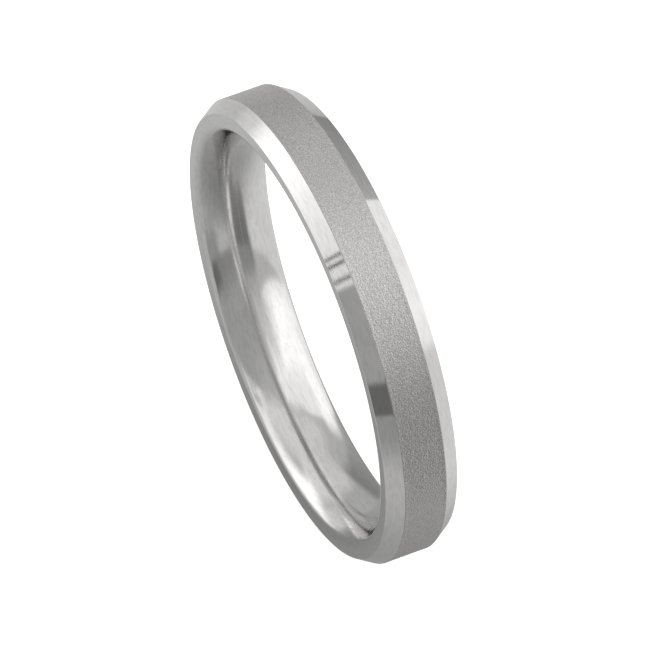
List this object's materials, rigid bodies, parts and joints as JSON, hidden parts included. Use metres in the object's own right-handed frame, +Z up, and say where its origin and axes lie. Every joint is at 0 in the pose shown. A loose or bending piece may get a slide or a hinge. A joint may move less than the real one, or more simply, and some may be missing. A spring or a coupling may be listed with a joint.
{
  "type": "wedding band",
  "caption": "Narrow finger ring with a fine-blasted flat centre between two polished bevelled edges and a comfort-fit bore, built up from turned pieces on one axis.",
  "frame": {"origin": "centre of the finger bore, at the middle of the band's width", "axes": "+Y along the finger axis, from the spigot half to the socket half; +Z up with the ring standing on its edge"},
  "size_m": [0.022, 0.0036, 0.022],
  "materials": {
    "polished_metal": "mirror polished white precious metal with fine handling scratches",
    "blasted_metal": "fine bead-blasted matte white metal"
  },
  "bodies": {
    "root": {"spigot_half": "polished_metal", "socket_half": "polished_metal", "centre_band": "blasted_metal"}
  },
  "joints": []
}
